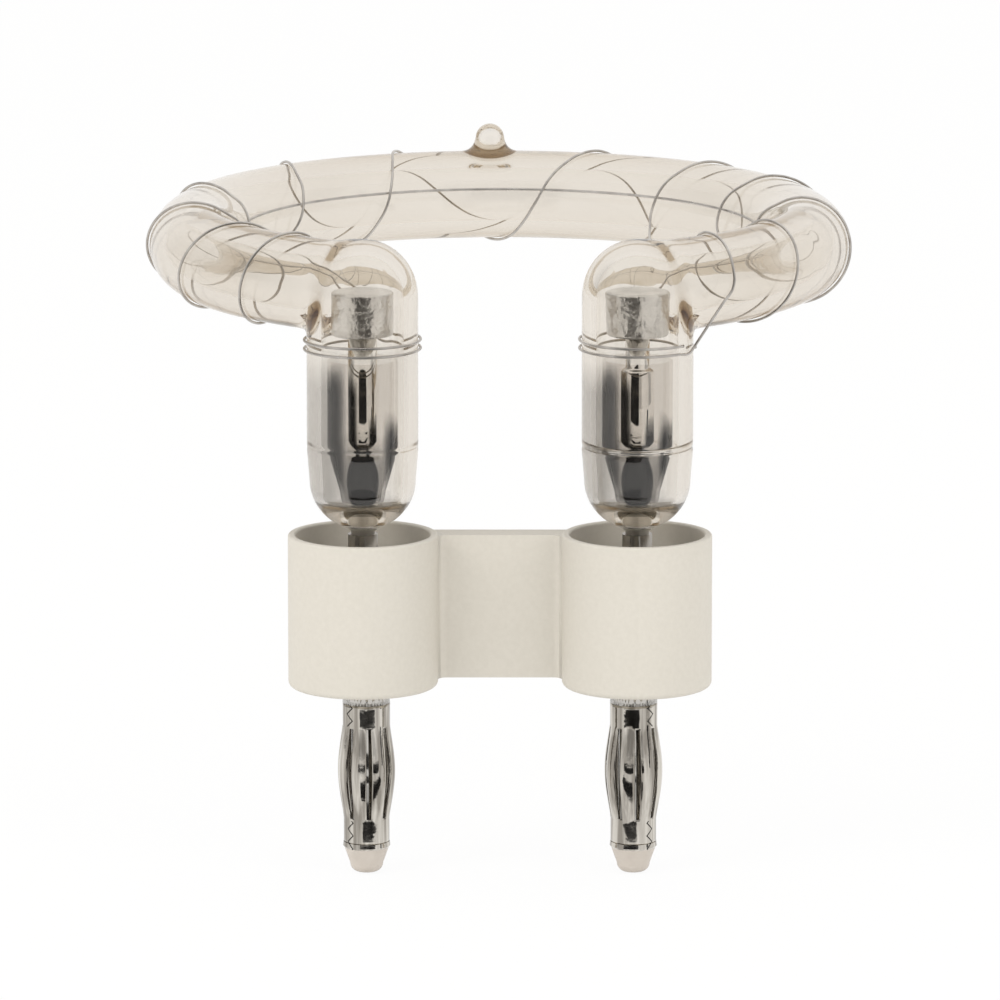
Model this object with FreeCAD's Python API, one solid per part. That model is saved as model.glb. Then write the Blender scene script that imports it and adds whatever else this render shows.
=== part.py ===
import FreeCAD, Part
import math
import os

# Driving sizes of the whole tube
leg_spacing = 23.0
ring_outer_diameter = 60.2
ring_axis_height = 33.85

# Driving sizes of the glass
tube_diameter = 7.7
tube_wall = 1.5
leg_diameter = 9.35
leg_wall = 1.2
foot_height = 13.4
foot_length = 4.2
foot_glass = 2.2
elbow_rise = 0.12
exhaust_tip_height = 2.5
exhaust_tip_diameter = 3.4
exhaust_tip_offset = 0.9

# Driving sizes of the ceramic base
base_height = 13.0
cup_diameter = 12.6
cup_wall = 0.65
cup_floor = 2.0
web_thickness = 2.5
web_setback = 1.8
web_fillet = 0.8

# Driving sizes of the electrodes and seals
head_diameter = 5.2
head_length = 3.7
head_flare = 0.12
rod_diameter = 2.4
rod_core_diameter = 1.2
bead_diameter = 2.7
sleeve_diameter = 5.9
sleeve_thickness = 0.3
ferrule_diameter = 2.4
lead_diameter = 2.5

# Driving sizes of the spring plugs
plug_toe_in = 0.25
plug_length = 16.0
plug_collar_diameter = 4.0
plug_bulge_diameter = 4.95
cage_thickness = 0.22
cage_slots = 8
slot_width = 0.45
seam_gap = 0.1

# Driving sizes of the trigger wire
wire_diameter = 0.28
wire_lift = 0.05
wire_crossings = (228, 213, 188, 165, 135, 111, 72, 46, 25, -2, -30, -48)

# Heights and radii that follow from the driving sizes
leg_x = leg_spacing / 2.0
plug_x = leg_x - plug_toe_in
tube_r = tube_diameter / 2.0
leg_r = leg_diameter / 2.0
ring_r = ring_outer_diameter / 2.0 - tube_r
ring_y = math.sqrt(ring_r ** 2 - leg_x ** 2)
leg_angle = math.degrees(math.atan2(ring_y, leg_x))
elbow_z = ring_axis_height + tube_r + elbow_rise - leg_r
cavity_z = foot_height + foot_glass
up = FreeCAD.Vector(0, 0, 1)


def point(x, y, z):
    return FreeCAD.Vector(x, y, z)


def turned(outline):
    """Solid turned about the Z axis from (radius, height) corners.
    A corner given as (radius, height, "via") is the middle of an arc."""
    edges = []
    start = outline[0]
    middle = None
    for corner in outline[1:] + outline[:1]:
        if len(corner) == 3:
            middle = corner
            continue
        a = point(start[0], 0, start[1])
        b = point(corner[0], 0, corner[1])
        if middle is None:
            edges.append(Part.makeLine(a, b))
        else:
            edges.append(Part.Arc(a, point(middle[0], 0, middle[1]), b).toShape())
        start = corner
        middle = None
    face = Part.Face(Part.Wire(edges))
    return face.revolve(point(0, 0, 0), up, 360)


def cylinder(radius, bottom, top):
    return Part.makeCylinder(radius, top - bottom, point(0, 0, bottom))


def moved(shape, x, y=0.0, z=0.0):
    copy = shape.copy()
    copy.translate(point(x, y, z))
    return copy


# Glass envelope: ring tube, two legs with domed feet and the exhaust tip
cavity_flat_r = 2.2


def foot_flat(radius, bottom, length, hole):
    """Height of the flat round the hole at the end of a leg's half-ellipse foot."""
    return bottom + length - length * math.sqrt(1.0 - (hole / (radius * 0.955)) ** 2)


def leg_solid(radius, bottom, length, hole):
    """Leg turned about Z: half-ellipse foot, slight taper, straight wall, half-ball top."""
    waist = radius * 0.955
    foot_top = bottom + length
    low = foot_flat(radius, bottom, length, hole)
    mid = (waist * math.cos(math.radians(42)), foot_top - length * math.sin(math.radians(42)), "via")
    crown = (radius * math.sin(math.radians(45)), elbow_z + radius * math.cos(math.radians(45)), "via")
    outline = [(0, low), (hole, low), mid, (waist, foot_top)]
    outline += [(radius, foot_top + 2.6), (radius, elbow_z), crown, (0, elbow_z + radius)]
    return turned(outline)


def ring_solid(radius):
    """Open ring of round section whose ends lie on the leg axes."""
    circle = Part.makeCircle(radius, point(ring_r, 0, 0), point(0, 1, 0))
    solid = Part.Face(Part.Wire(circle)).revolve(point(0, 0, 0), up, 180 + 2 * leg_angle)
    solid.rotate(point(0, 0, 0), up, -leg_angle)
    return moved(solid, 0, ring_y, ring_axis_height)


def exhaust_tip():
    """Pulled-off stub of the pumping tube, on top of the ring at the back."""
    r = exhaust_tip_diameter / 2.0
    h = exhaust_tip_height
    outline = [(0, -1.4), (r * 1.32, -1.4), (r * 1.22, 0), (r * 1.05, h * 0.13, "via"), (r, h * 0.42)]
    outline += [(r * 0.88, h * 0.82, "via"), (r * 0.5, h * 0.96), (0, h)]
    return moved(turned(outline), -exhaust_tip_offset, ring_y + ring_r, ring_axis_height + tube_r)


def glass_envelope():
    cavity_floor = foot_flat(leg_r - leg_wall, cavity_z, foot_length * 0.45, cavity_flat_r)
    outer = ring_solid(tube_r)
    inner = ring_solid(tube_r - tube_wall)
    leg = leg_solid(leg_r, foot_height, foot_length, ferrule_diameter / 2.0 + 0.3)
    chamber = leg_solid(leg_r - leg_wall, cavity_z, foot_length * 0.45, cavity_flat_r)
    bore = cylinder(ferrule_diameter / 2.0, foot_height - 1.0, cavity_floor + 0.1)
    for x in (-leg_x, leg_x):
        outer = outer.fuse(moved(leg, x))
        inner = inner.fuse(moved(chamber, x)).fuse(moved(bore, x))
    return outer.fuse(exhaust_tip()).cut(inner)


# Ceramic base: two open cups with a round hole in each floor, joined by a flat web
def ceramic_base():
    r = cup_diameter / 2.0
    low = 0.5
    top = 0.2
    outline = [(0, 0), (r - low, 0), (r - low * 0.293, low * 0.293, "via"), (r, low)]
    outline += [(r, base_height - top), (r - top * 0.293, base_height - top * 0.293, "via")]
    outline += [(r - top, base_height), (0, base_height)]
    cup = turned(outline)
    web_low = low + 0.05
    web_high = base_height - top - 0.05
    corner = point(-leg_x, web_setback - web_thickness / 2.0, web_low)
    body = Part.makeBox(leg_spacing, web_thickness, web_high - web_low, corner)
    left = cup.copy()
    left.rotate(point(0, 0, 0), up, 180)
    body = body.fuse(moved(left, -leg_x)).fuse(moved(cup, leg_x))
    edges = [e for e in body.Edges if joins_web(e)]
    body = body.makeFillet(web_fillet, edges)
    bore_r = r - cup_wall
    outline = [(0, cup_floor), (bore_r - low, cup_floor)]
    outline += [(bore_r - low * 0.293, cup_floor + low * 0.293, "via"), (bore_r, cup_floor + low)]
    outline += [(bore_r, base_height - top), (bore_r + top * 0.293, base_height - top * 0.293, "via")]
    outline += [(bore_r + top, base_height), (bore_r + top, base_height + 1), (0, base_height + 1)]
    bore = turned(outline)
    for side in (-1, 1):
        body = body.cut(moved(bore, side * leg_x))
        body = body.cut(moved(cylinder(stud_r, -1, cup_floor + 1), side * plug_x))
    return body


def joins_web(edge):
    """True for the upright edges where the web runs into the cups."""
    a = edge.Vertexes[0].Point
    b = edge.Vertexes[-1].Point
    upright = abs(a.x - b.x) < 1e-6 and abs(a.y - b.y) < 1e-6 and abs(a.z - b.z) > 1.0
    return upright and abs(a.x) < leg_x


# Electrodes: sintered head, polished rod, dark seal bead and inner seal sleeve
head_top = ring_axis_height - 0.15
head_low = head_top - head_length
bead_low = cavity_z
bead_top = bead_low + 0.292 * (head_low - bead_low)
socket = 2.0
spigot_r = rod_diameter / 3.0
stud_r = 1.3


def electrode_head(flare):
    low_r = head_diameter / 2.0
    top_r = low_r + flare
    c = 0.25
    outline = [(0, head_low + socket), (spigot_r, head_low + socket), (spigot_r, head_low)]
    outline += [(low_r - c, head_low), (low_r - c * 0.293, head_low + c * 0.293, "via"), (low_r, head_low + c)]
    outline += [(top_r, head_top - c), (top_r - c * 0.293, head_top - c * 0.293, "via"), (top_r - c, head_top)]
    outline += [(0, head_top - 0.15)]
    return turned(outline)


def electrode_rod(step):
    """Rod with a spigot in the head, a polished shank and a thin core in the seal;
    step is how much the upper shank is thinner than the lower one."""
    low_r = rod_diameter / 2.0 + step / 2.0
    top_r = rod_diameter / 2.0 - step / 2.0
    core = rod_core_diameter / 2.0
    shoulder = bead_top + 0.9
    change = head_low - 2.7
    outline = [(0, foot_height + 0.8), (core, foot_height + 0.8), (core, shoulder - 0.6)]
    outline += [(low_r - 0.15, shoulder), (low_r, shoulder + 0.3)]
    if step > 0:
        outline += [(low_r, change - 0.35), (top_r, change)]
    outline += [(top_r, head_low)]
    outline += [(spigot_r, head_low), (spigot_r, head_low + socket), (0, head_low + socket)]
    return turned(outline)


def seal_bead():
    r = bead_diameter / 2.0
    core = rod_core_diameter / 2.0
    middle = (bead_low + bead_top) / 2.0
    outline = [(core, bead_low), (r * 0.62, bead_low), (r, middle, "via"), (core + 0.12, bead_top), (core, bead_top)]
    return turned(outline)


def seal_sleeve():
    """Thin inner tube: straight above, drawn in below onto the foot of the leg."""
    r = sleeve_diameter / 2.0
    t = sleeve_thickness
    low = r * 0.58
    cavity_floor = foot_flat(leg_r - leg_wall, cavity_z, foot_length * 0.45, cavity_flat_r)
    neck = bead_top + 0.6
    top = head_low - 2.2
    outline = [(low, cavity_floor), (r, neck), (r, top), (r - t / 2.0, top + t / 2.0, "via"), (r - t, top)]
    outline += [(r - t, neck), (low - t, cavity_floor)]
    return turned(outline)


# Lead-out: nickel ferrule in the foot of the glass and the grey sleeve in the cup
def lead_ferrule():
    r = ferrule_diameter / 2.0
    core = rod_core_diameter / 2.0
    outline = [(0, foot_height - 0.4), (r - 0.2, foot_height - 0.4), (r - 0.2, foot_height), (r, foot_height)]
    outline += [(r, cavity_z), (core, cavity_z), (core, foot_height + 0.8), (0, foot_height + 0.8)]
    return turned(outline)


def lead_sleeve(side):
    top = foot_height - 0.4
    low = cup_floor + 2.6
    body = cylinder(lead_diameter / 2.0, low, top)
    hole = cylinder(post_r, low - 1, low + 2.4)
    return moved(body, side * leg_x).cut(moved(hole, side * plug_x))


# Spring plug: turned pin, slotted spring cage, end ring and insulating tip
collar_r = plug_collar_diameter / 2.0
post_r = 0.8
shoulder_z = -plug_length * 0.09
cage_low = -plug_length * 0.836
end_low = cage_low - 0.5
slot_top = shoulder_z - 1.85
slot_low = cage_low + 2.0
neck_r = 0.9


def plug_pin():
    """Pin with a riveted head over the cup floor and seats for both collars of the cage."""
    seat = collar_r - cage_thickness
    low_seat = seat - 0.07
    outline = [(0, end_low - 1.2), (neck_r, end_low - 1.2), (neck_r, cage_low), (low_seat, cage_low)]
    outline += [(low_seat, slot_low - 0.35), (1.25, slot_low), (1.25, slot_top), (seat, slot_top + 0.35)]
    outline += [(seat, shoulder_z), (collar_r, shoulder_z), (collar_r, 0), (stud_r, 0), (stud_r, cup_floor)]
    outline += [(2.1, cup_floor), (1.9, cup_floor + 0.55), (post_r, cup_floor + 0.6)]
    outline += [(post_r, cup_floor + 5.0), (0, cup_floor + 5.0)]
    return turned(outline)


def seam_cut(low, high, teeth):
    """Thin zigzag slit between the two clinched edges of the rolled sheet."""
    step = (high - low) / (2.0 * teeth)
    left = []
    right = []
    for i in range(2 * teeth + 1):
        swing = 0.3 if i % 2 else -0.3
        left.append(point(0, swing - seam_gap / 2.0, low + i * step))
        right.append(point(0, swing + seam_gap / 2.0, low + i * step))
    ring = left + right[::-1] + left[:1]
    return Part.Face(Part.makePolygon(ring)).extrude(point(4, 0, 0))


def spring_cage(seam_angle):
    bulge = plug_bulge_diameter / 2.0
    t = cage_thickness
    low_r = collar_r - 0.07
    middle = (slot_top + slot_low) / 2.0
    outline = [(low_r, cage_low), (low_r, slot_low), (bulge, middle, "via"), (collar_r, slot_top)]
    outline += [(collar_r, shoulder_z), (collar_r - t, shoulder_z), (collar_r - t, slot_top)]
    outline += [(bulge - t, middle, "via"), (low_r - t, slot_low), (low_r - t, cage_low)]
    cage = turned(outline)
    cuts = []
    for i in range(int(cage_slots)):
        slot = Part.makeBox(4, slot_width, slot_top - slot_low - 0.3, point(0, -slot_width / 2.0, slot_low + 0.15))
        slot.rotate(point(0, 0, 0), up, i * 360.0 / cage_slots)
        cuts.append(slot)
    cuts.append(seam_cut(slot_top - 0.4, shoulder_z + 0.4, 2))
    cuts.append(seam_cut(cage_low - 0.4, slot_low + 0.4, 2))
    cage = cage.cut(Part.makeCompound(cuts))
    cage.rotate(point(0, 0, 0), up, seam_angle)
    return cage


def plug_end_ring():
    outline = [(neck_r, end_low), (collar_r - 0.12, end_low), (collar_r, end_low + 0.15)]
    outline += [(collar_r - 0.05, cage_low), (neck_r, cage_low)]
    return turned(outline)


def insulating_tip():
    base = collar_r - 0.12
    low = -plug_length
    outline = [(0, end_low - 1.2), (neck_r, end_low - 1.2), (neck_r, end_low), (base, end_low)]
    outline += [(base * 0.74, low + 0.75), (base * 0.6, low + 0.18, "via"), (base * 0.3, low), (0, low)]
    return turned(outline)


# Trigger wires: a stay along the ring's inner side and a winding that holds it
hug = wire_diameter / 2.0 + wire_lift
upper_z = ring_axis_height - tube_r - hug - 0.2
lower_z = upper_z - wire_diameter - 0.45
stay_turn = 165


def on_ring(angle, turn, lift=0.0):
    """Point of a wire's centre line on the ring tube; turn 0 is the outer side,
    90 the top and 180 the inner side."""
    r = tube_r + hug + lift
    a = math.radians(angle)
    b = math.radians(turn)
    reach = ring_r + r * math.cos(b)
    return point(reach * math.cos(a), ring_y + reach * math.sin(a), ring_axis_height + r * math.sin(b))


def on_leg(side, angle, z):
    """Point of a wire's centre line on a leg; angle 0 faces the centre of the ring."""
    a = math.radians(angle + leg_angle)
    r = leg_r + hug
    return point(side * (r * math.cos(a) - leg_x), r * math.sin(a), z)


def leg_turn(side, first, last, z_first, z_last):
    """Turn of wire round the top of a leg."""
    count = int(abs(last - first) / 28.0) + 1
    points = []
    for i in range(count + 1):
        t = i / float(count)
        points.append(on_leg(side, first + (last - first) * t, z_first + (z_last - z_first) * t))
    return points


def glass_axes(p):
    """Nearest points of the leg's and the ring's centre lines, each with the glass radius."""
    foot = point(math.copysign(leg_x, p.x), 0, min(p.z, elbow_z))
    flat = point(p.x, p.y - ring_y, 0).normalize() * ring_r
    centre = point(flat.x, flat.y + ring_y, ring_axis_height)
    return (foot, leg_r), (centre, tube_r)


def off_glass(p):
    """Point moved outward, where needed, so that a wire lies on the glass of leg and ring."""
    for axis, radius in glass_axes(p):
        if p.distanceToPoint(axis) < radius + hug:
            p = axis + (p - axis).normalize() * (radius + hug)
    return p


def along_glass(p, direction):
    """Direction turned parallel to the glass where the wire lies on it."""
    for axis, radius in glass_axes(p):
        if abs(p.distanceToPoint(axis) - radius - hug) < 0.01:
            away = (p - axis).normalize()
            direction = (direction - away * direction.dot(away)).normalize()
    return direction


def link(a, b, steps):
    """Points between a turn on a leg and the wire on the ring, laid over the elbow."""
    return [off_glass(a + (b - a) * (i / float(steps))) for i in range(1, steps)]


def helix():
    """Long-pitched winding round the ring tube that steps over the stay at each turn."""
    tops = (wire_crossings[0] + 8,) + wire_crossings + (wire_crossings[-1] - 8,)
    count = (len(wire_crossings) - 1) * 12 + 5
    points = []
    for i in range(count + 1):
        turn = 150 - 30 * i
        over = turn % 360 in (150, 180) and i > 0
        lift = wire_diameter + 0.06 if over else 0.0
        t = (i + 10) / 12.0
        k = int(t)
        angle = tops[k] + (tops[k + 1] - tops[k]) * (t - k)
        points.append(on_ring(angle, turn, lift))
    return points


def stay_run():
    """Stretched length along the inner side of the ring tube."""
    reach = 168 + leg_angle
    points = [on_ring(reach, stay_turn + 22)]
    count = 30
    for i in range(count + 1):
        t = i / float(count)
        points.append(on_ring(reach - 4 + (180 + 8 - 2 * reach) * t, stay_turn))
    points.append(on_ring(180 - reach, stay_turn + 22))
    return points


def arc(a, corner, b):
    """Arc that starts at a, ends at b and is tangent there to the lines through the corner."""
    half = (b - a).Length / 2.0
    cosine = half / (corner - a).Length
    chord = (a + b) * 0.5
    if cosine > 0.999999:
        return Part.makeLine(a, b)
    return Part.Arc(a, chord + (corner - chord) * (cosine / (1.0 + cosine)), b).toShape()


def two_arcs(a, ta, b, tb):
    """Two tangent arcs from a to b with the directions ta and tb at their ends."""
    v = b - a
    t = ta + tb
    k = 2.0 * (1.0 - ta.dot(tb))
    if k < 1e-6:
        d = v.dot(v) / (4.0 * v.dot(tb))
    else:
        d = (-v.dot(t) + math.sqrt(v.dot(t) ** 2 + k * v.dot(v))) / k
    ca = a + ta * d
    cb = b - tb * d
    joint = (ca + cb) * 0.5
    return [arc(a, ca, joint), arc(joint, cb, b)]


def wire_along(points):
    """Round wire whose centre line is a chain of tangent arcs through the points."""
    ends = points[:1] + points + points[-1:]
    tangents = [along_glass(points[i], (ends[i + 2] - ends[i]).normalize()) for i in range(len(points))]
    edges = []
    for i in range(len(points) - 1):
        edges += two_arcs(points[i], tangents[i], points[i + 1], tangents[i + 1])
    ring = Part.Wire(Part.makeCircle(wire_diameter / 2.0, points[0], tangents[0]))
    return Part.Wire(edges).makePipe(Part.Face(ring))


def trigger_winding():
    left = leg_turn(1, -335, -12, upper_z - 0.12, upper_z)
    right = leg_turn(-1, -220, 110, lower_z, lower_z - 0.1)
    middle = helix()
    return wire_along(left + link(left[-1], middle[0], 5) + middle + link(middle[-1], right[0], 4) + right)


def trigger_stay():
    left = leg_turn(1, -340, 5, lower_z - 0.15, lower_z)
    right = leg_turn(-1, 5, -205, upper_z, upper_z - 0.1)
    middle = stay_run()
    return wire_along(left + link(left[-1], middle[0], 4) + middle + link(middle[-1], right[0], 4) + right)


def export(name, shape):
    shape.exportStep("parts/" + name + ".step")


os.makedirs("parts", exist_ok=True)
export("glass_envelope", glass_envelope())
export("ceramic_base", ceramic_base())
export("trigger_winding", trigger_winding())
export("trigger_stay", trigger_stay())
for name, side, flare, step, seam in (("left", -1, 0.0, 0.0, 180), ("right", 1, head_flare, 0.4, -22.5)):
    export("electrode_head_" + name, moved(electrode_head(flare), side * leg_x))
    export("electrode_rod_" + name, moved(electrode_rod(step), side * leg_x))
    export("seal_bead_" + name, moved(seal_bead(), side * leg_x))
    export("seal_sleeve_" + name, moved(seal_sleeve(), side * leg_x))
    export("lead_ferrule_" + name, moved(lead_ferrule(), side * leg_x))
    export("lead_sleeve_" + name, lead_sleeve(side))
    export("plug_pin_" + name, moved(plug_pin(), side * plug_x))
    export("spring_cage_" + name, moved(spring_cage(seam), side * plug_x))
    export("plug_end_ring_" + name, moved(plug_end_ring(), side * plug_x))
    export("insulating_tip_" + name, moved(insulating_tip(), side * plug_x))
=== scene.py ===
import bmesh
import bpy
import math
import numpy as np
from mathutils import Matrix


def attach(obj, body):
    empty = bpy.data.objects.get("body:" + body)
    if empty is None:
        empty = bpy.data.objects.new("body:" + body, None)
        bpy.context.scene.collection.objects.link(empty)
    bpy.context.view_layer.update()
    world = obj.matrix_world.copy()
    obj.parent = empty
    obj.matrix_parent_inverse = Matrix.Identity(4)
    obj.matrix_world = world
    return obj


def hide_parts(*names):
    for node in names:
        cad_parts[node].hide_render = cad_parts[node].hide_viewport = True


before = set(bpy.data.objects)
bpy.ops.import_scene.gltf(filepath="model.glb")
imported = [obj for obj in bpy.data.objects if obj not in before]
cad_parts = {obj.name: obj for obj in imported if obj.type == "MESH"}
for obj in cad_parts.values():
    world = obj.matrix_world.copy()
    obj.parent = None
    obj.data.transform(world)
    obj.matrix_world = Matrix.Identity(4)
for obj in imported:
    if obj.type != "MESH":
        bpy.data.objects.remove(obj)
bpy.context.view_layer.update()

# The camera stands in front of the tube and a little above it, as in the photograph.
# It looks at a point on the line midway between the two glass legs.
camera_distance = 0.8
camera_rise = math.radians(10.95)
aim_height = 0.01587
camera = bpy.data.objects.new("camera", bpy.data.cameras.new("camera"))
camera.data.sensor_width = 36.0
camera.data.lens = 343.62
camera.data.clip_end = 20.0
camera.location = (
    0.0,
    -camera_distance * math.cos(camera_rise),
    aim_height + camera_distance * math.sin(camera_rise))
camera.rotation_euler = (math.pi / 2 - camera_rise, 0.0, 0.0)
bpy.context.scene.collection.objects.link(camera)
bpy.context.scene.camera = camera
bpy.context.scene.view_settings.view_transform = "Standard"


# The studio is a pale floor under a white surround, lit at a plain level by two soft lamps.
# Bright metal and clear glass also see soft darker bands in the surround, and a few dark cards.
class Socket:
    """An output of a shader node; arithmetic on it adds Math nodes."""

    def __init__(self, tree, link):
        self.tree = tree
        self.link = link

    def out(self, name):
        """Another output of the same node."""
        return Socket(self.tree, self.link.node.outputs[name])

    def math(self, operation, *others):
        """A Math node with this output first."""
        inputs = dict(enumerate((self,) + others))
        return shader_node(self.tree, "ShaderNodeMath", {"operation": operation}, inputs)

    def ramp(self, start, end, low=0.0, high=1.0):
        """A straight ramp from low at start to high at end, level beyond them."""
        inputs = {"Value": self, "From Min": start, "From Max": end, "To Min": low, "To Max": high}
        return shader_node(self.tree, "ShaderNodeMapRange", None, inputs)

    def __add__(self, other):
        return self.math("ADD", other)

    def __sub__(self, other):
        return self.math("SUBTRACT", other)

    def __mul__(self, other):
        return self.math("MULTIPLY", other)

    def __truediv__(self, other):
        return self.math("DIVIDE", other)

    __radd__ = __add__
    __rmul__ = __mul__


def shader_node(tree, kind, settings=None, inputs=None):
    """A node of that type: its settings are set first, then its sockets' values or links. Stops are
    a colour ramp's places, each with a grey level or a colour."""
    made = tree.nodes.new(kind)
    for name, value in (settings or {}).items():
        if name == "stops":
            ramp = made.color_ramp
            while len(ramp.elements) < len(value):
                ramp.elements.new(0.5)
            for element, (place, tone) in zip(ramp.elements, value):
                colour = tone if isinstance(tone, tuple) else (tone, tone, tone)
                element.position = place
                element.color = (*colour, 1.0)
        else:
            setattr(made, name, value)
    for name, value in (inputs or {}).items():
        if isinstance(value, Socket):
            tree.links.new(value.link, made.inputs[name])
        else:
            made.inputs[name].default_value = value
    return Socket(tree, made.outputs[0]) if made.outputs else None


def blend_shaders(tree, share, first, second):
    """The first shader where the share is 0, the second where it is 1."""
    return shader_node(tree, "ShaderNodeMixShader", None, {0: share, 1: first, 2: second})


def blend_colours(tree, share, first, second):
    """The first colour where the share is 0, the second where it is 1."""
    mix = shader_node(tree, "ShaderNodeMix", {"data_type": "RGBA"}, {0: share, 6: first, 7: second})
    return mix.out(2)


def plainly_seen(tree):
    """1 for rays from the camera, a mirror or clear glass, and 0 for the rays that only light things."""
    ray = shader_node(tree, "ShaderNodeLightPath")
    seen = ray.out("Is Camera Ray").math("MAXIMUM", ray.out("Is Glossy Ray"))
    return seen.math("MAXIMUM", ray.out("Is Transmission Ray"))


def new_material(name):
    """A material whose node tree is empty."""
    material = bpy.data.materials.new(name)
    material.use_nodes = True
    material.node_tree.nodes.clear()
    return material


world = bpy.data.worlds.new("studio")
bpy.context.scene.world = world
world.use_nodes = True
world.node_tree.nodes.clear()
sky = world.node_tree
direction = shader_node(sky, "ShaderNodeTexCoord")
along = shader_node(sky, "ShaderNodeSeparateXYZ", None, {0: direction})

# Grey levels round the horizon: 0 and 1 lie behind the camera, 0.5 behind the tube, 0.25 at its left.
turn = along.out("X").math("ARCTAN2", along.out("Y")) / (2 * math.pi) + 0.5
bands = [
    (0.0, 0.6), (0.07, 0.6), (0.1, 1.0), (0.2, 1.0), (0.24, 0.45), (0.3, 0.45), (0.36, 0.8), (0.42, 1.0),
    (0.7, 1.0), (0.73, 0.5), (0.77, 0.5), (0.79, 0.9), (0.91, 1.0), (0.94, 0.6), (1.0, 0.6)]
around = shader_node(sky, "ShaderNodeValToRGB", {"stops": bands}, {0: turn})
white = (1.0, 1.0, 1.0, 1.0)
overhead = along.out("Z").ramp(0.55, 0.75)
bare = shader_node(sky, "ShaderNodeLightPath").out("Is Camera Ray").math("MAXIMUM", overhead)
surround = shader_node(sky, "ShaderNodeBackground", None, {
    "Color": blend_colours(sky, bare, around, white), "Strength": 1.0})
ambient = shader_node(sky, "ShaderNodeBackground", None, {
    "Color": (1.0, 0.985, 0.96, 1.0), "Strength": 0.95})
both = blend_shaders(sky, plainly_seen(sky), ambient, surround)
shader_node(sky, "ShaderNodeOutputWorld", None, {"Surface": both})

lamp_aim = np.array([0.0, 0.01, 0.015])
for lamp_name, place, power, width in (
        ("key_lamp", (-0.6, -0.45, 0.45), 2.1, 0.45),
        ("fill_lamp", (0.5, -0.4, 0.35), 0.9, 0.4)):
    lamp = bpy.data.objects.new(lamp_name, bpy.data.lights.new(lamp_name, "AREA"))
    lamp.data.energy = power
    lamp.data.size = width
    lamp.data.color = (1.0, 0.98, 0.95)
    lamp.location = place
    ahead = lamp_aim - np.array(place)
    tilt = math.atan2(math.hypot(ahead[0], ahead[1]), -ahead[2])
    lamp.rotation_euler = (tilt, 0.0, math.atan2(ahead[0], -ahead[1]) + math.pi)
    lamp.visible_glossy = False
    lamp.visible_transmission = False
    bpy.context.scene.collection.objects.link(lamp)

# The floor lies just under the plug tips and looks nearly as white as the surround.
floor_paint = new_material("floor_paint")
tree = floor_paint.node_tree
lit = shader_node(tree, "ShaderNodeBsdfDiffuse", None, {"Color": (0.92, 0.92, 0.91, 1.0)})
glow = shader_node(tree, "ShaderNodeEmission", None, {"Color": white, "Strength": 1.0})
both = blend_shaders(tree, plainly_seen(tree) * 0.92, lit, glow)
shader_node(tree, "ShaderNodeOutputMaterial", None, {"Surface": both})

floor_z = -0.01605
floor_half = 4.0
floor_mesh = bpy.data.meshes.new("floor")
floor_mesh.from_pydata([
    (-floor_half, -floor_half, floor_z), (floor_half, -floor_half, floor_z),
    (floor_half, floor_half, floor_z), (-floor_half, floor_half, floor_z)], [], [(0, 1, 2, 3)])
floor_mesh.materials.append(floor_paint)
floor = bpy.data.objects.new("floor", floor_mesh)
bpy.context.scene.collection.objects.link(floor)

# Small dark cards stand close in front and at the right; only mirror reflections show them.
card_paint = new_material("card_paint")
tree = card_paint.node_tree
mirrored = shader_node(tree, "ShaderNodeLightPath").out("Glossy Depth").math("GREATER_THAN", 0.5)
clear = shader_node(tree, "ShaderNodeBsdfTransparent")
dark = shader_node(tree, "ShaderNodeBsdfDiffuse", None, {"Color": (0.02, 0.02, 0.021, 1.0)})
shader_node(tree, "ShaderNodeOutputMaterial", None, {"Surface": blend_shaders(tree, mirrored, clear, dark)})
card_z = floor_z + 0.0001
cards = (
    ("tall_card", [
        (-0.036, -0.045, 0.008), (0.018, -0.045, 0.008),
        (0.018, -0.045, 0.07), (-0.036, -0.045, 0.07)]),
    ("low_card", [
        (-0.040, -0.045, card_z), (0.030, -0.045, card_z),
        (0.030, -0.045, -0.0095), (-0.040, -0.045, -0.0095)]),
    ("floor_card", [
        (-0.019, -0.026, card_z), (0.018, -0.026, card_z),
        (0.0150, -0.0135, card_z), (-0.0155, -0.0135, card_z)]),
    ("side_card", [
        (0.075, -0.03, card_z), (0.079, -0.018, card_z),
        (0.079, -0.018, 0.02), (0.075, -0.03, 0.02)]))
for card_name, corners in cards:
    card_mesh = bpy.data.meshes.new(card_name)
    card_mesh.from_pydata(corners, [], [(0, 1, 2, 3)])
    card_mesh.materials.append(card_paint)
    card = bpy.data.objects.new(card_name, card_mesh)
    card.visible_camera = False
    card.visible_diffuse = False
    card.visible_shadow = False
    bpy.context.scene.collection.objects.link(card)


# Glass envelope: clear hard glass, tinted a little warm, blown and drawn in one piece. The ring tube ends
# in two upright legs with round elbows and domed feet, and the stub of the pumping tube stands on the
# ring at the back. Lengths are in millimetres.
MM = 0.001
leg_x = 11.5
leg_radius = 4.675
leg_wall = 1.2
ring_radius = 26.25
ring_y = math.sqrt(ring_radius ** 2 - leg_x ** 2)
ring_z = 33.85
tube_radius = 3.85
tube_wall = 1.5
corner_gap = 0.12
elbow_z = ring_z + tube_radius + corner_gap - leg_radius
elbow_blend = 0.9

# the stub of the pumping tube
stub_x = -0.9
stub_low = 36.6
stub_top = 38.9
stub_radius = 1.26
stub_flare = 0.33
stub_blend = 1.0

# the legs' feet outside and inside, and the line where each leg is welded
foot_low = 13.4
foot_length = 4.2
bore_low = 15.6
bore_foot_length = 1.9
foot_waist = 0.955
foot_hole = 1.32
foot_rise = 2.6
weld_z = 20.5
weld_height = 0.2
columns = 96


def soft_union(a, b, blend):
    """Smooth minimum of two distances: the lesser, less (blend - |a - b|)^2 / (4 blend) where
    they are near."""
    near = np.maximum(blend - np.abs(a - b), 0.0)
    return np.minimum(a, b) - near * near / (4.0 * blend)


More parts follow.
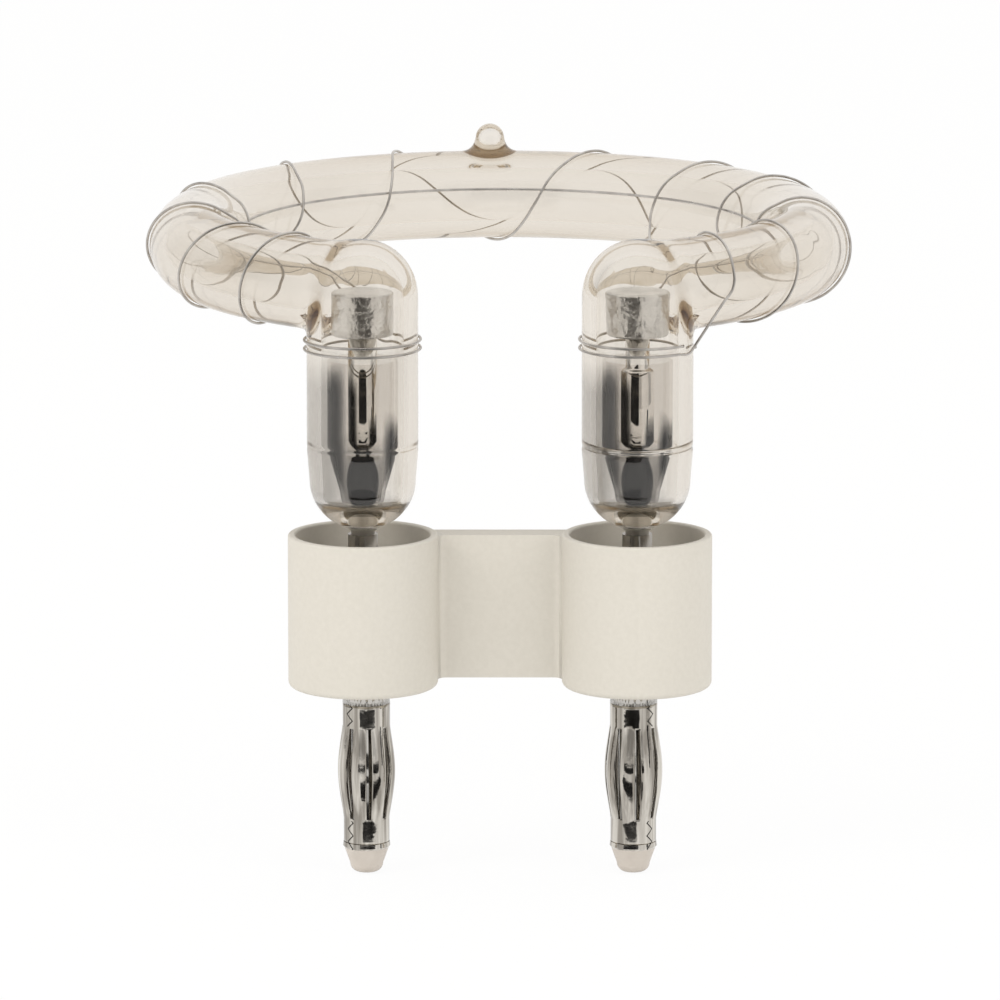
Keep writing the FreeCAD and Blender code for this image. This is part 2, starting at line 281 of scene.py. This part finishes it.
def glass_distance(p, leg_r, tube_r, stub):
    """Distance to the skin: the ring's circle less tube_r, blended with the legs' lines less leg_r
    and, if asked for, with the stub."""
    x, y, z = p[..., 0], p[..., 1], p[..., 2]
    flat = np.hypot(x, y - ring_y)
    bearing = np.degrees(np.arctan2(y - ring_y, np.abs(x)))
    arc_end = -math.degrees(math.atan2(ring_y, leg_x))
    from_leg = (np.abs(x) - leg_x) ** 2 + y ** 2
    on_arc = np.hypot(flat - ring_radius, z - ring_z)
    at_end = np.sqrt(from_leg + (z - ring_z) ** 2)
    tube = np.where(bearing > arc_end, on_arc, at_end) - tube_r
    leg = np.sqrt(from_leg + np.maximum(z - elbow_z, 0.0) ** 2) - leg_r
    skin = soft_union(tube, leg, elbow_blend)
    if stub:
        off = np.hypot(x - stub_x, y - ring_y - ring_radius)
        past_ends = np.clip(z - stub_top, 0.0, None) - np.clip(stub_low - z, 0.0, None)
        swell = stub_radius + stub_flare * np.clip((stub_top - z) / 1.2, 0.0, 1.4)
        skin = soft_union(skin, np.sqrt(off ** 2 + past_ends ** 2) - swell, stub_blend)
    return skin


def glass_skin(leg_r, tube_r, low_z, dish_length, stub, weld, power):
    """Rings of points along the tube: level rings up a leg, rings that swing about the elbow's inner
    corner, upright rings round the ring tube, and the same down the other leg. Each point is found
    on a ray from its ring's centre by halving the interval, 0.2 to 8 at first, in which the distance
    changes sign. The entries of weld are the depths of the weld lines in the left and right leg."""
    swing = math.asin((leg_r + corner_gap) / ring_radius)
    start = math.pi + math.atan2(ring_y, leg_x) - swing
    corner_z = ring_z - tube_r - corner_gap
    dish_top = low_z + dish_length
    leg_out = np.array([math.cos(start), math.sin(start), 0.0])
    leg_back = np.array([-math.sin(start), math.cos(start), 0.0])
    rise = np.array([0.0, 0.0, 1.0])

    # up the left leg, with rows closer together across the weld line
    level = np.concatenate([np.linspace(dish_top + foot_rise, 21.4, 26), np.linspace(21.6, corner_z, 14)])
    centres = [np.stack([0 * level - leg_x, 0 * level, level], -1)]
    ups = [np.tile(leg_back, (len(level), 1))]
    outs = [np.tile(leg_out, (len(level), 1))]

    # about the elbow's inner corner
    tilt = np.linspace(0.0, math.pi / 2, 30)[1:-1, None]
    part = tilt / (math.pi / 2)
    up = leg_back * np.cos(tilt) + rise * np.sin(tilt)
    reach = ring_radius * (math.cos(swing) + (1 - math.cos(swing)) * part)
    lift = leg_r + corner_gap + (tube_r - leg_r) * part + 0.8 * np.sin(2 * tilt)
    centres.append(np.array([0.0, ring_y, corner_z]) + leg_out * reach + up * lift)
    ups.append(up)
    outs.append(np.tile(leg_out, (len(tilt), 1)))

    # round the ring to the back, with rows closer together at the stub
    back = math.pi / 2
    bearing = np.concatenate([np.linspace(start, back + 0.16, 110), np.linspace(back + 0.155, back, 40)])[:, None]
    radial = np.concatenate([np.cos(bearing), np.sin(bearing), 0 * bearing], 1)
    centres.append(radial * ring_radius + np.array([0.0, ring_y, ring_z]))
    ups.append(np.tile(rise, (len(bearing), 1)))
    outs.append(radial)

    # the right half is a mirror image of the left
    mirror = np.array([-1.0, 1.0, 1.0])
    centre, up, out = (np.concatenate(rows) for rows in (centres, ups, outs))
    centre, up, out = (np.concatenate([rows, rows[-2::-1] * mirror]) for rows in (centre, up, out))
    phi = np.linspace(0.0, 2 * math.pi, columns, endpoint=False)[:, None]
    ray = up[:, None] * np.cos(phi) + out[:, None] * np.sin(phi)
    low = np.full(ray.shape[:2], 0.2)
    high = np.full(ray.shape[:2], 8.0)
    for _ in range(36):
        middle = (low + high) / 2
        within = glass_distance(centre[:, None] + ray * middle[..., None], leg_r, tube_r, stub) < 0
        low = np.where(within, middle, low)
        high = np.where(within, high, middle)
    skin = centre[:, None] + ray * low[..., None]
    groove = np.where(skin[..., 0] < 0, *weld) * np.exp(-((skin[..., 2] - weld_z) / weld_height) ** 2)
    skin = skin - ray * groove[..., None]

    # the foot: half of a rounded box (power 2 is an ellipse), drawn in to the waist, from the hole's edge up
    waist = leg_r * foot_waist
    sweep = np.linspace(math.asin(foot_hole / waist), math.pi / 2, 28)
    dish = 1.0 - (1.0 - np.sin(sweep) ** power) ** (1.0 / power)
    widen = np.linspace(0, 1, 8)[1:-1]
    radius = np.concatenate([waist * np.sin(sweep), waist + (leg_r - waist) * widen])
    height = np.concatenate([low_z + dish_length * dish, dish_top + foot_rise * widen])
    ring = leg_back * np.cos(phi) + leg_out * np.sin(phi)
    foot = ring * radius[:, None, None] + np.stack([0 * height - leg_x, 0 * height, height], -1)[:, None]
    return np.concatenate([foot, skin, foot[::-1] * mirror])


def grid_faces(rows, columns, offset=0, flip=False):
    """Quads between neighbouring rows of a grid whose columns close on themselves."""
    i, j = np.meshgrid(np.arange(rows - 1), np.arange(columns), indexing="ij")
    k = (j + 1) % columns
    quads = np.stack([(i + 1) * columns + j, (i + 1) * columns + k, i * columns + k, i * columns + j], -1)
    quads = quads.reshape(-1, 4) + offset
    return quads[:, ::-1] if flip else quads


def new_piece(name, points, faces, material, slot_name, *cad_nodes):
    """A smooth mesh piece, in millimetres, that rides on the root body and replaces CAD nodes."""
    mesh = bpy.data.meshes.new(name)
    mesh.from_pydata((points * MM).reshape(-1, 3), [], faces.tolist())
    mesh.shade_smooth()
    mesh.materials.append(material)
    piece = bpy.data.objects.new(name, mesh)
    bpy.context.scene.collection.objects.link(piece)
    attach(piece, "root")
    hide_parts(*cad_nodes)
    return piece


def leg_coordinates(tree):
    """The object coordinates, and from them in millimetres: how far right of the nearer leg's axis,
    how far behind it, and the height."""
    place = shader_node(tree, "ShaderNodeTexCoord").out("Object")
    spot = shader_node(tree, "ShaderNodeSeparateXYZ", None, {0: place})
    outward = spot.out("X").math("ABSOLUTE") - leg_x * MM
    rightward = outward * spot.out("X").math("SIGN") / MM
    return place, rightward, spot.out("Y") / MM, spot.out("Z") / MM


# Inside the legs the glass is drawn darker: on the left walls below the heads and on the bores' floors.
# Deep in a chain of bounces the glass is plain transparent, so that the bounce limit leaves no black.
glass = new_material("warm_clear_glass")
tree = glass.node_tree
place, rightward, behind, height = leg_coordinates(tree)
cloud = shader_node(tree, "ShaderNodeTexNoise", None, {"Vector": place, "Scale": 90.0, "Detail": 3.0})
tints = [(0.3, (0.955, 0.945, 0.93)), (0.7, (0.985, 0.975, 0.96))]
tint = shader_node(tree, "ShaderNodeValToRGB", {"stops": tints}, {0: cloud})
wave = shader_node(tree, "ShaderNodeTexNoise", None, {"Vector": place, "Scale": 260.0, "Detail": 1.0})
ripple = shader_node(tree, "ShaderNodeBump", None, {"Height": wave, "Strength": 0.05, "Distance": 0.0004})
clear = shader_node(tree, "ShaderNodeBsdfPrincipled", None, {
    "Base Color": tint, "Roughness": 0.0, "IOR": 1.46, "Transmission Weight": 1.0, "Normal": ripple})
through = shader_node(tree, "ShaderNodeBsdfTransparent", None, {"Color": (0.96, 0.95, 0.93, 1.0)})
path = shader_node(tree, "ShaderNodeLightPath")
plain = path.out("Is Shadow Ray").math("MAXIMUM", path.out("Ray Depth").math("GREATER_THAN", 4.5))
body = blend_shaders(tree, plain, clear, through)

from_axis = (rightward * rightward + behind * behind).math("SQRT")
in_bore = from_axis.math("LESS_THAN", 3.6) * height.math("LESS_THAN", 29.0) * height.math("GREATER_THAN", 15.4)
# The darkening mask: darker on the bores' floors, on the left walls below the heads, and faintly all through the
# bores.
bore_floor_dark = in_bore * height.ramp(16.5, 15.9)
left_wall_dark = rightward.ramp(-0.5, -3.0)
wall_low = (height + cloud * 2.0).ramp(29.5, 26.5)
leg_darkening = (bore_floor_dark * 0.4).math("MAXIMUM", in_bore * left_wall_dark * wall_low * (0.25 + cloud * 0.3))
leg_darkening = leg_darkening.math("MAXIMUM", in_bore * 0.05)
black = shader_node(tree, "ShaderNodeBsdfPrincipled", None, {
    "Base Color": (0.05, 0.047, 0.044, 1.0), "Roughness": 0.2})
depth = shader_node(tree, "ShaderNodeVolumeAbsorption", None, {"Color": (0.43, 0.26, 0.0, 1.0), "Density": 98.0})
shader_node(tree, "ShaderNodeOutputMaterial", None, {
    "Surface": blend_shaders(tree, leg_darkening, body, black), "Volume": depth})

outside = glass_skin(leg_radius, tube_radius, foot_low, foot_length, True, (0.02, 0.05), 2.0)
inside = glass_skin(
    leg_radius - leg_wall, tube_radius - tube_wall, bore_low, bore_foot_length, False, (0.06, 0.3), 5.0)
outer_rows = outside.shape[0]
inner_rows = inside.shape[0]
points = np.concatenate([outside.reshape(-1, 3), inside.reshape(-1, 3)])
first_inner = outer_rows * columns
last_outer = first_inner - columns
last_inner = first_inner + (inner_rows - 1) * columns
j = np.arange(columns)
k = (j + 1) % columns
left_hole = np.stack([k, first_inner + k, first_inner + j, j], -1)
right_hole = np.stack([last_inner + j, last_inner + k, last_outer + k, last_outer + j], -1)
faces = np.concatenate([
    grid_faces(outer_rows, columns), grid_faces(inner_rows, columns, first_inner, True), left_hole, right_hole])
new_piece("glass_envelope_smooth", points, faces, glass, "clear_glass", "glass_envelope")


def grain(tree, scale, low, high):
    """Noise on object coordinates turned into a range from low to high."""
    place = shader_node(tree, "ShaderNodeTexCoord").out("Object")
    noise = shader_node(tree, "ShaderNodeTexNoise", None, {"Vector": place, "Scale": scale, "Detail": 4.0})
    return noise.ramp(0.3, 0.7, low, high)


def finish_of(name, dark, light, metallic, rough, scale, depth, strength=0.2):
    """A solid finish: fine noise mixes the two tones, slightly coarser noise goes through the roughness
    range, and finer noise of that depth makes a bump."""
    material = new_material(name)
    tree = material.node_tree
    tone = blend_colours(tree, grain(tree, scale, 0.0, 1.0), (*dark, 1.0), (*light, 1.0))
    roughness = grain(tree, scale * 0.6, *rough)
    bump = shader_node(tree, "ShaderNodeBump", None, {
        "Height": grain(tree, scale * 2.5, 0.0, 1.0), "Strength": strength, "Distance": depth})
    surface = shader_node(tree, "ShaderNodeBsdfPrincipled", None, {
        "Base Color": tone, "Metallic": metallic, "Roughness": roughness, "Normal": bump})
    shader_node(tree, "ShaderNodeOutputMaterial", None, {"Surface": surface})
    return material


def smooth_copy(node, material, sharp=32.0, thin=0.0):
    """The CAD solid with its triangles merged, smooth shading, edges kept above that angle, and the
    skin drawn in by that many millimetres."""
    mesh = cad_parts[node].data.copy()
    mesh.name = node + "_finished"
    piece = bpy.data.objects.new(node + "_finished", mesh)
    bpy.context.scene.collection.objects.link(piece)
    work = bmesh.new()
    work.from_mesh(mesh)
    bmesh.ops.remove_doubles(work, verts=work.verts, dist=1e-6)
    work.to_mesh(mesh)
    work.free()
    if thin:
        skin = np.empty(len(mesh.vertices) * 3)
        outward = np.empty(len(mesh.vertices) * 3)
        mesh.vertices.foreach_get("co", skin)
        mesh.vertex_normals.foreach_get("vector", outward)
        mesh.vertices.foreach_set("co", skin - outward * thin * MM)
    mesh.shade_smooth()
    mesh.set_sharp_from_angle(angle=math.radians(sharp))
    mesh.materials.clear()
    mesh.materials.append(material)
    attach(piece, "root")
    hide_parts(node)


def smooth_pair(node, material):
    """Smooth copies of the left and the right CAD solid of that name."""
    for side in ("left", "right"):
        smooth_copy(node + "_" + side, material)


# Ceramic base: matt off-white fired ceramic in one piece, two open cups and the web between them.
# The feet of the glass stand over the cups and the two plugs pass through the cups' floors.
ceramic = finish_of("matt_ceramic", (0.625, 0.595, 0.535), (0.65, 0.62, 0.56), 0.0, (0.55, 0.7), 2600.0, 0.00001)
smooth_copy("ceramic_base", ceramic)


# Trigger wire: thin drawn metal wire. One length lies along the inner side of the ring, the other
# is wound round the tube over it, and each ends in a turn about a leg.
wire_metal = finish_of("wire_metal", (0.42, 0.39, 0.36), (0.60, 0.57, 0.53), 1.0, (0.25, 0.4), 900.0, 0.00001)
smooth_copy("trigger_winding", wire_metal, 100.0, 0.025)
smooth_copy("trigger_stay", wire_metal, 100.0, 0.025)


# Electrode heads: pressed and sintered tungsten, satin grey with a coarse grain.
# Each sits on the spigot at the top of its rod.
sintered = finish_of(
    "sintered_metal", (0.66, 0.65, 0.63), (0.84, 0.83, 0.81), 1.0, (0.26, 0.36), 350.0, 0.0004, 0.35)
smooth_pair("electrode_head", sintered)


# Electrode rods: ground and polished metal that carries the heads.
# Each is thinner in the seal, where the dark bead joins it to the foot of its leg.
polished = finish_of(
    "polished_rod", (0.90, 0.89, 0.87), (0.96, 0.95, 0.93), 1.0, (0.02, 0.07), 500.0, 0.00002, 0.1)
smooth_pair("electrode_rod", polished)


# Seal beads: dark sealing glass melted round the thin part of each rod.
# Each closes its leg to the air, and a seal sleeve rises round it.
seal_dark = finish_of(
    "dark_seal", (0.012, 0.012, 0.014), (0.03, 0.03, 0.034), 0.0, (0.08, 0.15), 500.0, 0.00002, 0.1)
smooth_pair("seal_bead", seal_dark)


# Seal sleeves: thin inner tubes of glass round the rods.
# They are drawn dark: most on the left, less on the right, and faintly all round low down.
sleeve_glass = new_material("smoky_glass")
tree = sleeve_glass.node_tree
place, rightward, behind, height = leg_coordinates(tree)
cloud = shader_node(tree, "ShaderNodeTexNoise", None, {"Vector": place, "Scale": 420.0, "Detail": 3.0})
# The dark share of the sleeve glass: most on the left, less on the right, faintly low down and a little
# everywhere.
left_side = (rightward + cloud * 0.5).ramp(-1.2, -2.2)
left_low = (height + cloud * 1.5).ramp(28.2, 26.0)
right_side = (rightward + cloud * 0.5).ramp(2.0, 2.7)
right_low = (height + cloud * 2.0).ramp(24.0, 22.0)
low_down = (height + cloud * 1.5).ramp(22.0, 19.5)
sleeve_darkness = (left_side * left_low).math("MAXIMUM", right_side * right_low)
sleeve_darkness = sleeve_darkness * (0.35 + cloud * 0.9) + low_down * 0.22 + 0.03
body = shader_node(tree, "ShaderNodeBsdfPrincipled", None, {
    "Base Color": (0.03, 0.031, 0.033, 1.0), "Roughness": 0.3, "Specular IOR Level": 0.1})
clear = shader_node(tree, "ShaderNodeBsdfTransparent", None, {"Color": (0.97, 0.96, 0.95, 1.0)})
shader_node(tree, "ShaderNodeOutputMaterial", None, {"Surface": blend_shaders(tree, sleeve_darkness, clear, body)})
smooth_pair("seal_sleeve", sleeve_glass)


# Lead ferrules: drawn nickel collars fused into the feet of the glass.
# They carry the current from the lead sleeves to the rods.
nickel = finish_of("nickel", (0.84, 0.81, 0.76), (0.92, 0.89, 0.83), 1.0, (0.45, 0.6), 900.0, 0.00002)
smooth_pair("lead_ferrule", nickel)


# Lead sleeves: darker grey metal tubes between the ferrules and the plug pins.
# The lower half of each is out of sight in its cup.
lead_metal = finish_of("lead_metal", (0.30, 0.28, 0.25), (0.44, 0.41, 0.37), 1.0, (0.25, 0.4), 900.0, 0.00002)
smooth_pair("lead_sleeve", lead_metal)


# Plug pins: turned and nickel-plated, with a shoulder under each cup.
# The cages cover the rest of each pin outside its cup.
plated = finish_of("plated_pin", (0.50, 0.48, 0.45), (0.60, 0.58, 0.54), 1.0, (0.08, 0.16), 900.0, 0.00001)
smooth_pair("plug_pin", plated)


# Spring cages: rolled spring sheet with eight bulged ribs, closed by a clinched zigzag seam.
# Both collars grip the pin, and the ribs spring against the socket. Lengths in millimetres.
plug_x = 11.25
cage_low = -13.37
slot_low = -11.37
slot_top = -3.29
cage_top = -1.45
slot_middle = (slot_low + slot_top) / 2
rib_count = 8
rib_half = math.radians(180.0 / rib_count - 6.0)
rib_columns = 13
collar_rows = 9
rib_rows = 60


def cage_grid(first_rib):
    """Rows up the cage and columns round it. The radius goes from 1.93 at the lower collar to 2.00 at
    the upper one and swells between them by 0.505 times mostly a half sine, less up to 0.1 at the
    edges of each rib. The faces in the slots between the ribs are left out."""
    height = np.concatenate([
        np.linspace(cage_low, slot_low, collar_rows),
        np.linspace(slot_low + 0.14, slot_top - 0.14, rib_rows),
        np.linspace(slot_top, cage_top, 8)])
    part = np.clip((height - slot_low) / (slot_top - slot_low), 0.0, 1.0)
    swell = 0.8 * np.sin(math.pi * part) + 0.1 * (1.0 - np.cos(2 * math.pi * part))
    across = np.linspace(-1.0, 1.0, rib_columns)
    middles = first_rib + np.arange(rib_count) * 2 * math.pi / rib_count
    angle = (middles[:, None] + rib_half * across).reshape(-1)
    crease = 0.1 * np.tile(across, rib_count) ** 2 * np.sqrt(np.sin(math.pi * part))[:, None]
    radius = (1.93 + 0.07 * part + 0.505 * swell)[:, None] - crease
    skin = np.stack([radius * np.cos(angle), radius * np.sin(angle), height[:, None] + 0.0 * angle], -1)
    faces = grid_faces(len(height), len(angle), 0, True).reshape(len(height) - 1, len(angle), 4)
    slot = np.zeros(faces.shape[:2], bool)
    slot[collar_rows:collar_rows + rib_rows - 1, rib_columns - 1::rib_columns] = True
    return skin, faces[~slot]


# The sheet is drawn in streaks along the plug and a little dented. The seam is a dark zigzag line down
# the front of each collar.
spring_metal = new_material("spring_metal")
tree = spring_metal.node_tree
place = shader_node(tree, "ShaderNodeTexCoord").out("Object")
spot = shader_node(tree, "ShaderNodeSeparateXYZ", None, {0: place})
height = spot.out("Z") / MM
outward = spot.out("X").math("ABSOLUTE") - plug_x * MM
arc = outward.math("ARCTAN2", spot.out("Y") * -1.0) * 2.0
zigzag = height.math("PINGPONG", 0.55) - 0.28
line = (arc - 1.54 + zigzag * 1.1).math("ABSOLUTE").math("LESS_THAN", 0.075)
on_collar = (height - slot_middle).math("ABSOLUTE").math("GREATER_THAN", 4.05)
seam = line * on_collar
drawn = shader_node(tree, "ShaderNodeMapping", None, {"Vector": place, "Scale": (1.0, 1.0, 0.06)})
streak = shader_node(tree, "ShaderNodeTexNoise", None, {"Vector": drawn, "Scale": 1500.0, "Detail": 3.0})
tone = blend_colours(tree, streak.ramp(0.38, 0.62), (0.30, 0.275, 0.24, 1.0), (0.66, 0.625, 0.565, 1.0))
tone = blend_colours(tree, seam, tone, (0.02, 0.018, 0.016, 1.0))
dents = grain(tree, 330.0, 0.0, 1.0)
bump = shader_node(tree, "ShaderNodeBump", None, {"Height": dents - seam, "Strength": 0.25, "Distance": 0.0001})
surface = shader_node(tree, "ShaderNodeBsdfPrincipled", None, {
    "Base Color": tone, "Metallic": 1.0, "Roughness": grain(tree, 500.0, 0.06, 0.14), "Normal": bump})
shader_node(tree, "ShaderNodeOutputMaterial", None, {"Surface": surface})

for name, middle_x, first_rib in (("left", -plug_x, -61.0), ("right", plug_x, -59.0)):
    skin, faces = cage_grid(math.radians(first_rib))
    skin = skin + np.array([middle_x, 0.0, 0.0])
    cage = new_piece(
        "spring_cage_" + name + "_sprung", skin, faces, spring_metal, "spring_metal", "spring_cage_" + name)
    sheet = cage.modifiers.new("sheet", "SOLIDIFY")
    sheet.thickness = 0.2 * MM
    sheet.offset = -1.0


# Plug end rings: turned rings that close the cages at their lower ends.
# They hold the cages on the pins and share the cages' bright metal.
smooth_pair("plug_end_ring", spring_metal)


# Insulating tips: pale moulded plastic noses pressed into the end rings.
# They guide the plugs into their sockets.
tip_plastic = finish_of("tip_plastic", (0.55, 0.50, 0.45), (0.61, 0.56, 0.51), 0.0, (0.4, 0.5), 700.0, 0.00001)
smooth_pair("insulating_tip", tip_plastic)
